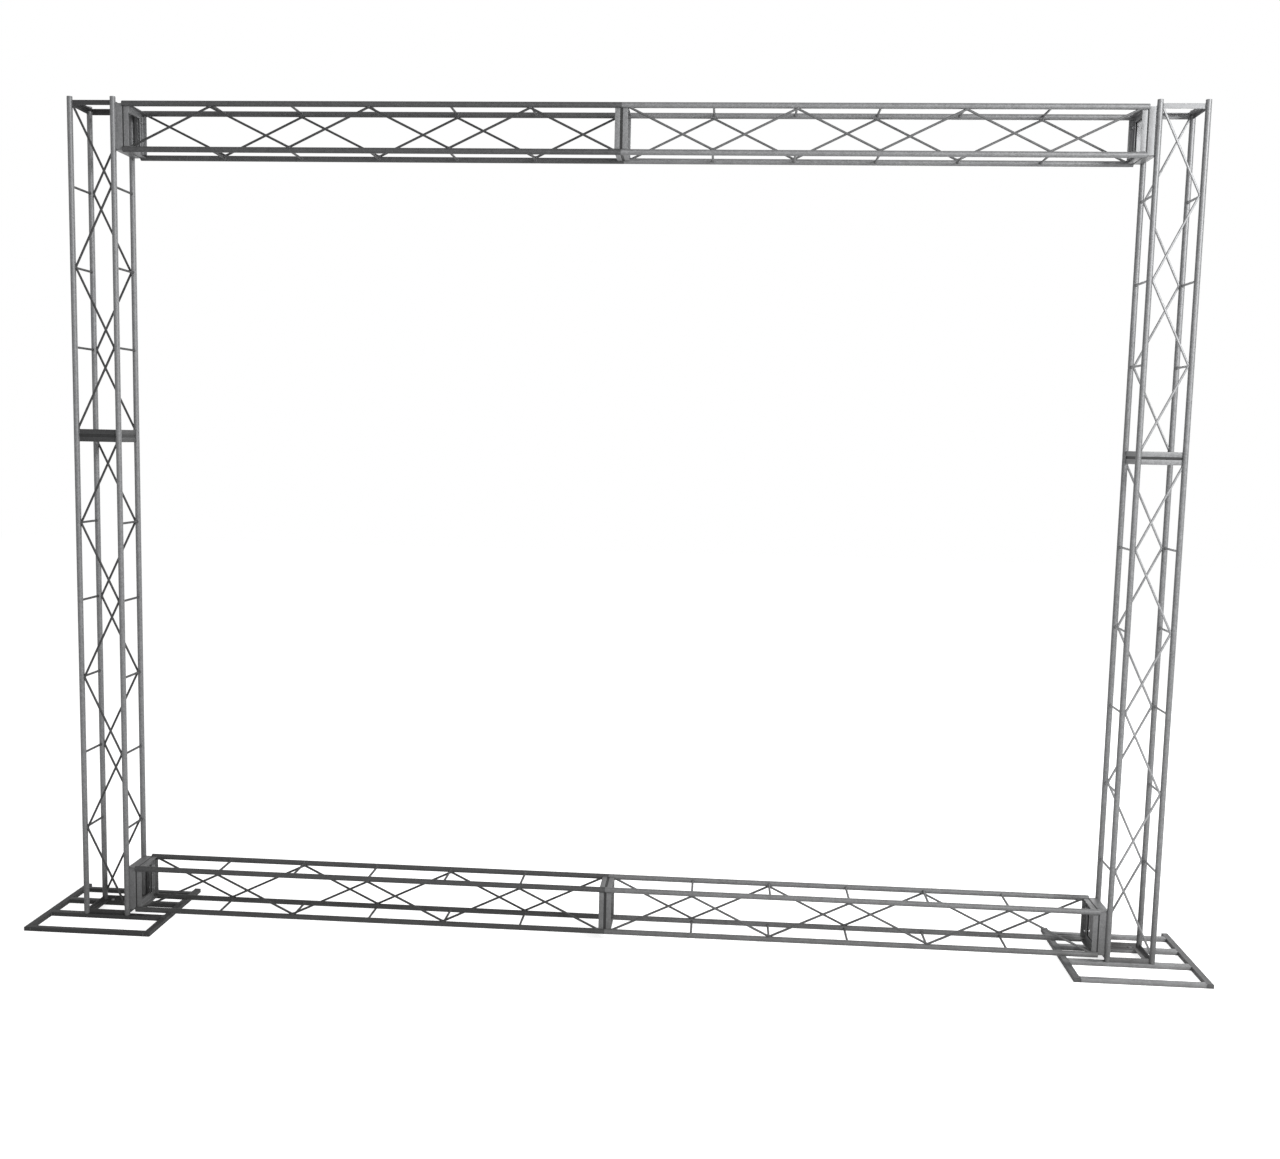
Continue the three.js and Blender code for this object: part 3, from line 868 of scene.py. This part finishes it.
def channel_outline(width, height):
    """A C with its open side down, in (across, height)."""
    half, w, r = width / 2, CHANNEL_WALL, SHOULDER
    inner = r - w * 0.5
    return np.concatenate([
        [(half - w, 0.0), (half, 0.0)],
        arc(half - r, height - r, r, 0, 90),
        arc(-half + r, height - r, r, 90, 180),
        [(-half, 0.0), (-half + w, 0.0)],
        arc(-half + w + inner, height - w - inner, inner, 180, 90),
        arc(half - w - inner, height - w - inner, inner, 90, 0),
    ])


def channel(width, height, start, end):
    """The outline carried along a level line from start to end on the floor."""
    start, end = Vector(start), Vector(end)
    along = (end - start).normalized()
    across = Vector((0, 0, 1)).cross(along)
    outline = channel_outline(width, height)
    ring = outline[:, :1] * np.array(across) + outline[:, 1:] * np.array((0, 0, 1.0))
    steps = np.linspace(0, 1, 3)[:, None, None]
    return loft((np.array(start) + steps * np.array(end - start)) + ring[None])


def end_plate(width, height, x, y, facing):
    """A plate with its four outer edges taken off, flush with a long bar's end. facing is -1 or 1 along y."""
    half, c = width / 2, PLATE_CUT
    corners = np.array([(-1, 0), (1, 0), (1, 1), (-1, 1)], float)
    cut = np.array([(1, 1), (-1, 1), (-1, -1), (1, -1)], float) * c
    square = corners * (half, height)
    depths = [(-CHANNEL_WALL, 0), (-c, 0), (0, 1)]
    rings = [np.insert(square + cut * on, 1, depth, axis=1) for depth, on in depths]
    points, faces = loft(np.array(rings))
    return points * (facing, facing, 1) + (x, y, 0), faces


# %% Both floor frames
FLOOR_BAR, RAIL, REAR_TAIL = 0.040, 0.050, 0.060
TOP_BEAD = 0.8 * BEAD
# The left frame takes a darker copy of the floor finish, painted shade, and the right frame's crossbars a
# lighter one, painted light.
FLOOR_SHADE_BY_SIDE = {"left": ("shaded_floor_zinc", "shaded_floor_zinc"), "right": ("floor_zinc", "lit_floor_zinc")}
for name in ("left", "right"):
    node_name = f"{name}_base"
    (left, front, _), (right, back, height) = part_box(node_name)
    long_bars, crosswise, beads = [], [], []
    for x in (left + FLOOR_BAR / 2, right - FLOOR_BAR / 2):
        long_bars.append(channel(FLOOR_BAR, height, (x, front + PLATE_CUT, 0), (x, back - PLATE_CUT, 0)))
        long_bars += [end_plate(FLOOR_BAR, height, x, y, facing) for y, facing in ((front, -1), (back, 1))]
    left_end, right_end = left + FLOOR_BAR, right - FLOOR_BAR
    for y, width in ((front + FLOOR_BAR / 2, FLOOR_BAR), (back - REAR_TAIL - FLOOR_BAR / 2, FLOOR_BAR),
                     (-(BOX - RAIL) / 2, RAIL), ((BOX - RAIL) / 2, RAIL)):
        crosswise.append(channel(width, height, (left_end - CHANNEL_WALL / 2, y, 0),
                                 (right_end + CHANNEL_WALL / 2, y, 0)))
        edge, top = width / 2 - BEAD, height - BEAD / 2
        faces_y = (y - width / 2, y + width / 2)
        for x in (left_end, right_end):
            beads.append(stick_bead((x, y - edge, top), (x, y + edge, top), TOP_BEAD))
            beads += [stick_bead((x, face, BEAD), (x, face, height - BEAD)) for face in faces_y]
    long_finish, cross_finish = FLOOR_SHADE_BY_SIDE[name]
    make_piece(node_name + ".long_bars", merged(long_bars), long_finish, "floor_steel", node_name)
    make_piece(node_name + ".crossbars", merged(crosswise), cross_finish, "floor_steel", node_name)
    make_piece(node_name + ".welds", merged(beads), "weld_bead", "floor_steel", node_name, sharp=WELD_SHARP)
    print(f"{node_name}: {len(crosswise)} crossbars, {len(beads)} beads")

# %% [markdown]
# ## Bolts
#
# A hexagon is a circle whose radius grows towards its corners, and the chamfer of a bolt head is a cone
# that takes the corners off. So head and nut are one surface of angle and height: the smaller of the two
# radii at each point. The thread's end that stands out of the nut winds by shifting a saw wave round the
# shank.

# %% Bolt
BOLT_SIZE, HEAD_FLATS, HEAD_HEIGHT, NUT_HEIGHT = 0.012, 0.019, 0.0075, 0.0108
WASHER_SIZE, WASHER_THICKNESS = 0.024, 0.00125
THREAD_PITCH, THREAD_DEPTH = 0.00175, 0.0009
THREAD_END = 0.0022  # what stands out of the nut
SEATED = 0.00025  # how far head and nut reach into the washers
FACE_SHARE = 0.96  # width of the round face inside the chamfer, as a share of the flats
DISC_CHAMFER = 0.0003
BOLT_STEPS, CHAMFER_STEPS, THREAD_STEPS = 48, 5, 6


def hexagon(angle):
    """Radius of a hexagon whose flats are HEAD_FLATS apart, by angle."""
    folded = (angle + math.pi / 6) % (math.pi / 3) - math.pi / 6
    return HEAD_FLATS / 2 / np.cos(folded)


def hex_solid(low, high, both_ends):
    """Rows of radii and their heights, for a hexagon block with a cone's chamfer on top or at both ends."""
    face = HEAD_FLATS / 2 * FACE_SHARE
    corner = HEAD_FLATS / 2 / math.cos(math.pi / 6)
    drop = (corner - face) * math.tan(math.radians(30))
    fade = np.linspace(0, 1, CHAMFER_STEPS)
    heights = np.concatenate([low + drop * fade, high - drop * fade[::-1]])
    cone = face + (corner - face) * fade
    limit = np.concatenate([cone if both_ends else np.full(CHAMFER_STEPS, corner), cone[::-1]])
    return np.minimum(hexagon(circle(BOLT_STEPS))[None], limit[:, None]), heights


def turned(radii, heights):
    """A closed skin from rows of radii at heights, along z."""
    angle = circle(BOLT_STEPS)
    z = np.broadcast_to(np.asarray(heights)[:, None], radii.shape)
    return loft(np.stack([radii * np.cos(angle), radii * np.sin(angle), z], -1))


def plain_disc(radius, low, high):
    """A disc with its rims taken off."""
    c = DISC_CHAMFER
    profile = np.array([(radius - c, low), (radius, low + c), (radius, high - c), (radius - c, high)])
    return turned(np.broadcast_to(profile[:, :1], (len(profile), BOLT_STEPS)), profile[:, 1])


def thread(low, high):
    """A shank whose radius follows a saw wave of height and angle, so that the wave climbs as it turns."""
    z = np.linspace(low, high, int((high - low) / THREAD_PITCH * THREAD_STEPS) + 2)
    turns = z[:, None] / THREAD_PITCH - circle(BOLT_STEPS)[None] / (2 * math.pi)
    saw = np.abs(2 * (turns % 1) - 1)
    fade = np.clip((z - low) / THREAD_PITCH, 0, 1)[:, None]
    return turned(BOLT_SIZE / 2 - THREAD_DEPTH * (saw * fade + (1 - fade)), z)


def bolt(start, end):
    """Nut end at start, head end at end, along z: the solids' span, with its washers and thread inside it."""
    grip_low, grip_high = start + NUT_HEIGHT, end - HEAD_HEIGHT
    nut_low = start + THREAD_END
    return merged([
        turned(*hex_solid(grip_high + WASHER_THICKNESS - SEATED, end, False)),
        plain_disc(WASHER_SIZE / 2, grip_high - FIT_GAP, grip_high + WASHER_THICKNESS),
        turned(*hex_solid(nut_low, grip_low - WASHER_THICKNESS + SEATED, True)),
        plain_disc(WASHER_SIZE / 2, grip_low - WASHER_THICKNESS, grip_low + FIT_GAP),
        plain_disc(BOLT_SIZE / 2 - THREAD_DEPTH / 2, grip_low, grip_high),
        thread(start, nut_low + THREAD_PITCH * 2),
    ])


# %% All forty bolts
CORNERS = [f"{name}_{side}_corner" for name in ("bottom", "top") for side in ("left", "right")]
JOINTS = ["left_base", "right_base", "left_tower", "right_tower", "bottom_beam", "top_beam", *CORNERS]
for joint_name in JOINTS:
    for number in range(1, 5):
        node_name = f"{joint_name}_bolt_{number}"
        x, y, z = (centre_of(node_name, axis) for axis in range(3))
        lies = np.ptp(extent(node_name, 0)) > np.ptp(extent(node_name, 2))
        place = Matrix.Translation((0, y, z)) @ QUARTER_TURN if lies else Matrix.Translation((x, y, 0))
        part = placed(bolt(*extent(node_name, 0 if lies else 2)), place)
        make_piece(node_name + ".hex", part, "bolt_zinc", "bolt_steel", node_name, sharp=BOLT_SHARP)
print(f"{4 * len(JOINTS)} bolts")

# %% [markdown]
# ## Floor, background and light
#
# The photograph's ground is a seamless white. Here the floor is a pale plane that glows a little to the
# camera and to reflections, so that it stays white but still darkens where the object shades it. The
# light comes from the right and above, and dies away to the left, where the photograph's steel is
# darkest.

# %% Floor and world
FLOOR_SIZE = 60.0
FLOOR_TONE, FLOOR_GLOW = 0.82, 0.74
AMBIENT = 0.32
WHITE = (1, 1, 1, 1)


def seen(tree):
    """1 for rays that come from the camera, a mirror or glass, and 0 for those that only carry light."""
    rays = node(tree, "ShaderNodeLightPath").outputs
    looked_at = math_node(tree, "ADD", rays["Is Camera Ray"], rays["Is Glossy Ray"])
    return math_node(tree, "ADD", looked_at, rays["Is Transmission Ray"], clamp=True)


floor_mesh = bpy.data.meshes.new("floor")
reach = FLOOR_SIZE / 2
floor_mesh.from_pydata([(-reach, -reach, 0), (reach, -reach, 0), (reach, reach, 0), (-reach, reach, 0)], [],
                       [(0, 1, 2, 3)])
floor = bpy.data.objects.new("floor", floor_mesh)
bpy.context.scene.collection.objects.link(floor)

floor_finish = bpy.data.materials.new("pale_floor")
floor_finish.use_nodes = True
tree = floor_finish.node_tree
shader = tree.nodes["Principled BSDF"]
shader.inputs["Base Color"].default_value = grey(FLOOR_TONE, 0)
shader.inputs["Roughness"].default_value = 0.9
shader.inputs["Specular IOR Level"].default_value = 0.0
shader.inputs["Emission Color"].default_value = WHITE
tree.links.new(math_node(tree, "MULTIPLY", seen(tree), FLOOR_GLOW), shader.inputs["Emission Strength"])
floor_mesh.materials.append(floor_finish)

world = bpy.data.worlds.new("studio")
world.use_nodes = True
bpy.context.scene.world = world
tree = world.node_tree
background = tree.nodes["Background"]
background.inputs["Color"].default_value = WHITE
strength = math_node(tree, "MULTIPLY_ADD", seen(tree), 1.0 - AMBIENT, AMBIENT)
tree.links.new(strength, background.inputs["Strength"])


# %% Lamps
def soft_lamp(name, place, aim, size, power):
    """A square area lamp at place that looks at aim."""
    data = bpy.data.lights.new(name, "AREA")
    data.shape = "SQUARE"
    data.size = size
    data.energy = power
    lamp = bpy.data.objects.new(name, data)
    direction = Vector(aim) - Vector(place)
    lamp.matrix_world = Matrix.Translation(place) @ direction.to_track_quat("-Z", "Y").to_matrix().to_4x4()
    bpy.context.scene.collection.objects.link(lamp)


# Place, what it looks at, width and power in watts
for name, values in {
    "key": ((7.5, -6.5, 6.5), (1.0, 0, 2.2), 3.0, 1100.0),
    "fill": ((0.0, -9.0, 5.0), (0.5, 0, 2.5), 5.0, 170.0),
    "back": ((4.5, 9.0, 5.5), (0.5, 0, 2.5), 5.0, 350.0),
}.items():
    soft_lamp(name, *values)

# %% Colour handling
bpy.context.scene.view_settings.view_transform = "Standard"
